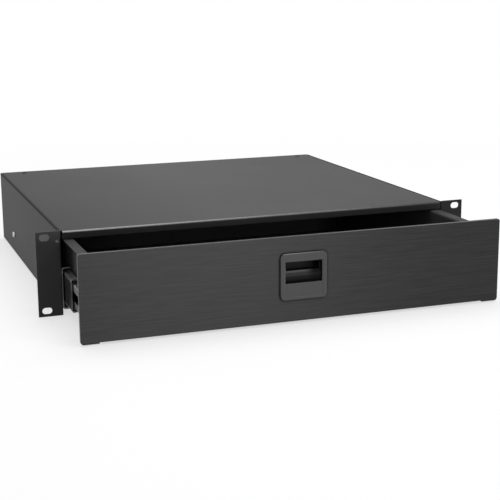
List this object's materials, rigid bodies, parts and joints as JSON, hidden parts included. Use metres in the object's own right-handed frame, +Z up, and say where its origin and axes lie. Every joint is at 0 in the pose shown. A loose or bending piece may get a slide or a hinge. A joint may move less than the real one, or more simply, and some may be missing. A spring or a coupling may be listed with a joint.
{
  "type": "sliding rack drawer",
  "caption": "Rack drawer in a folded case, running on full-extension ball slides, with a flush finger latch and slotted rack ears.",
  "frame": {"origin": "middle of the four rack slots, on the front face of the ears", "axes": "X to the right as seen from the front, Y to the rear, Z up; the drawer opens towards -Y and is stored standing 108.6 mm open"},
  "size_m": [0.4826, 0.512, 0.0883],
  "materials": {
    "powder_coat": "fine textured black powder coat",
    "drawer_coat": "satin black powder coat",
    "brushed_black": "black with a fine horizontal brushed grain",
    "zinc": "bright zinc plated",
    "black_screw": "black zinc",
    "slide_steel": "zinc plated, fine rolling lines",
    "cage_steel": "bare stamped steel",
    "ball_steel": "polished bearing steel",
    "pin_steel": "ground steel",
    "spring_steel": "drawn spring wire",
    "latch_plastic": "fine moulded texture",
    "lever_plastic": "satin moulded",
    "bolt_plastic": "slick moulded",
    "bumper_rubber": "soft black rubber"
  },
  "bodies": {
    "case": {"left_side_wall": "powder_coat", "right_side_wall": "powder_coat", "case_top": "powder_coat", "case_back": "powder_coat", "top_screws": "black_screw", "left_slide_screws": "zinc", "right_slide_screws": "zinc", "left_slide_outer": "slide_steel", "right_slide_outer": "slide_steel", "left_slide_bumper": "bumper_rubber", "right_slide_bumper": "bumper_rubber"},
    "drawer": {"drawer_tray": "drawer_coat", "drawer_subfront": "drawer_coat", "drawer_back": "drawer_coat", "front_panel": "brushed_black", "panel_studs": "zinc", "panel_nuts": "zinc", "left_slide_inner": "slide_steel", "right_slide_inner": "slide_steel", "left_drawer_screws": "zinc", "right_drawer_screws": "zinc", "latch_housing": "latch_plastic", "latch_pivot_pin": "pin_steel", "latch_spring": "spring_steel", "bolt_guide": "bolt_plastic", "guide_screws": "zinc", "latch_screws": "zinc"},
    "left_middle_member": {"left_slide_middle": "slide_steel"},
    "right_middle_member": {"right_slide_middle": "slide_steel"},
    "left_outer_cage_run": {"left_outer_cage": "cage_steel", "left_outer_balls": "ball_steel"},
    "right_outer_cage_run": {"right_outer_cage": "cage_steel", "right_outer_balls": "ball_steel"},
    "left_inner_cage_run": {"left_inner_cage": "cage_steel", "left_inner_balls": "ball_steel"},
    "right_inner_cage_run": {"right_inner_cage": "cage_steel", "right_inner_balls": "ball_steel"},
    "lever": {"latch_lever": "lever_plastic", "latch_link_pin": "pin_steel"},
    "bolt": {"latch_bolt": "bolt_plastic"}
  },
  "joints": [
    {"name": "drawer_slide", "type": "slide", "parent": "case", "child": "drawer", "axis": [0, -1, 0], "range_m": [-0.1086, 0.2414]},
    {"name": "left_middle_slide", "type": "slide", "parent": "case", "child": "left_middle_member", "axis": [0, -1, 0], "range_m": [-0.0543, 0.1207]},
    {"name": "left_outer_cage_slide", "type": "slide", "parent": "case", "child": "left_outer_cage_run", "axis": [0, -1, 0], "range_m": [-0.02715, 0.06035]},
    {"name": "left_inner_cage_slide", "type": "slide", "parent": "case", "child": "left_inner_cage_run", "axis": [0, -1, 0], "range_m": [-0.08145, 0.18105]},
    {"name": "right_middle_slide", "type": "slide", "parent": "case", "child": "right_middle_member", "axis": [0, -1, 0], "range_m": [-0.0543, 0.1207]},
    {"name": "right_outer_cage_slide", "type": "slide", "parent": "case", "child": "right_outer_cage_run", "axis": [0, -1, 0], "range_m": [-0.02715, 0.06035]},
    {"name": "right_inner_cage_slide", "type": "slide", "parent": "case", "child": "right_inner_cage_run", "axis": [0, -1, 0], "range_m": [-0.08145, 0.18105]},
    {"name": "lever_pull", "type": "hinge", "parent": "drawer", "child": "lever", "pos_m": [0.0018, -0.1096, 0.0216], "axis": [-1, 0, 0], "range_deg": [0, 25], "stiffness_Nm_per_rad": 0.016, "springref_deg": -28.65},
    {"name": "bolt_drop", "type": "slide", "parent": "drawer", "child": "bolt", "axis": [0, 0, -1], "range_m": [0, 0.00346]}
  ],
  "couplings": [
    {"joint": "left_middle_slide", "follows": "drawer_slide", "ratio": 0.5},
    {"joint": "left_outer_cage_slide", "follows": "drawer_slide", "ratio": 0.25},
    {"joint": "left_inner_cage_slide", "follows": "drawer_slide", "ratio": 0.75},
    {"joint": "right_middle_slide", "follows": "drawer_slide", "ratio": 0.5},
    {"joint": "right_outer_cage_slide", "follows": "drawer_slide", "ratio": 0.25},
    {"joint": "right_inner_cage_slide", "follows": "drawer_slide", "ratio": 0.75},
    {"joint": "bolt_drop", "follows": "lever_pull", "m_per_rad": 0.0079369}
  ]
}
